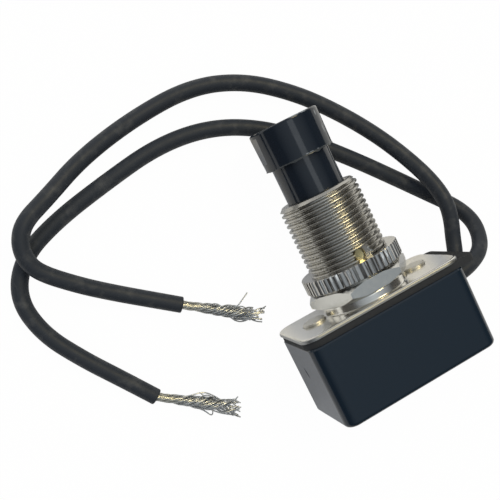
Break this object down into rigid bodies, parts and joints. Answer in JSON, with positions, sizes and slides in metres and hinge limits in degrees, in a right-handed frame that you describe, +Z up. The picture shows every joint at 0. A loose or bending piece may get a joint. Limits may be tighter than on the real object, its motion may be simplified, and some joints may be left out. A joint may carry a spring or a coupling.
{
  "type": "pushbutton switch",
  "caption": "Panel pushbutton canopy switch: black button in a threaded nickel bushing with nuts, plated plate, boxed ratchet contacts and bare-ended leads.",
  "frame": {"origin": "middle of the housing's back face, on which the switch lies, under the bushing's axis", "axes": "+Y along the bushing towards the button, +Z up out of the front face, +X along the plate towards the leads"},
  "size_m": [0.0676, 0.0526, 0.0156],
  "materials": {
    "housing_resin": "glossy blue-black moulded resin",
    "button_resin": "glossy black moulded resin",
    "nickel_thread": "bright nickel plate on a cut thread",
    "nickel_knurl": "bright nickel plate, fluted",
    "nickel_satin": "satin nickel plate",
    "nickel_plate": "bright nickel plate on stamped sheet",
    "rivet_nickel": "nickel plate, slightly dull",
    "fibre_black": "black vulcanised fibre",
    "spring_steel": "plain steel",
    "rotor_resin": "natural resin",
    "contact_brass": "bare stamped brass",
    "lead_vinyl": "black satin vinyl",
    "tinned_copper": "tinned copper strands"
  },
  "bodies": {
    "switch_body": {"housing": "housing_resin", "threaded_bushing": "nickel_thread", "knurled_nut": "nickel_knurl", "hex_nut": "nickel_satin", "mounting_plate": "nickel_plate", "left_rivet": "rivet_nickel", "right_rivet": "rivet_nickel", "insulator_sheet": "fibre_black", "return_spring": "spring_steel", "rotor_pivot": "spring_steel", "left_contact": "contact_brass", "right_contact": "contact_brass", "left_contact_rivet": "contact_brass", "right_contact_rivet": "contact_brass", "lead_a_insulation": "lead_vinyl", "lead_b_insulation": "lead_vinyl", "lead_a_bare_end": "tinned_copper", "lead_b_bare_end": "tinned_copper", "lead_a_inner_end": "tinned_copper", "lead_b_inner_end": "tinned_copper"},
    "push_button": {"button": "button_resin"},
    "rotor": {"index_rotor": "rotor_resin", "contact_bridge": "contact_brass", "thrust_washer": "spring_steel"}
  },
  "joints": [
    {"name": "button_press", "type": "slide", "parent": "switch_body", "child": "push_button", "axis": [0, -1, 0], "range_m": [0, 0.0034], "stiffness_N_per_m": 900, "springref_m": -0.003, "deforming": ["return_spring"]},
    {"name": "rotor_index", "type": "hinge", "parent": "switch_body", "child": "rotor", "pos_m": [0, 0, 0.0078], "axis": [0, 1, 0], "range_deg": [0, 45]}
  ],
  "couplings": [
    {"joint": "rotor_index", "follows": "button_press", "rad_per_m": 230.9}
  ]
}
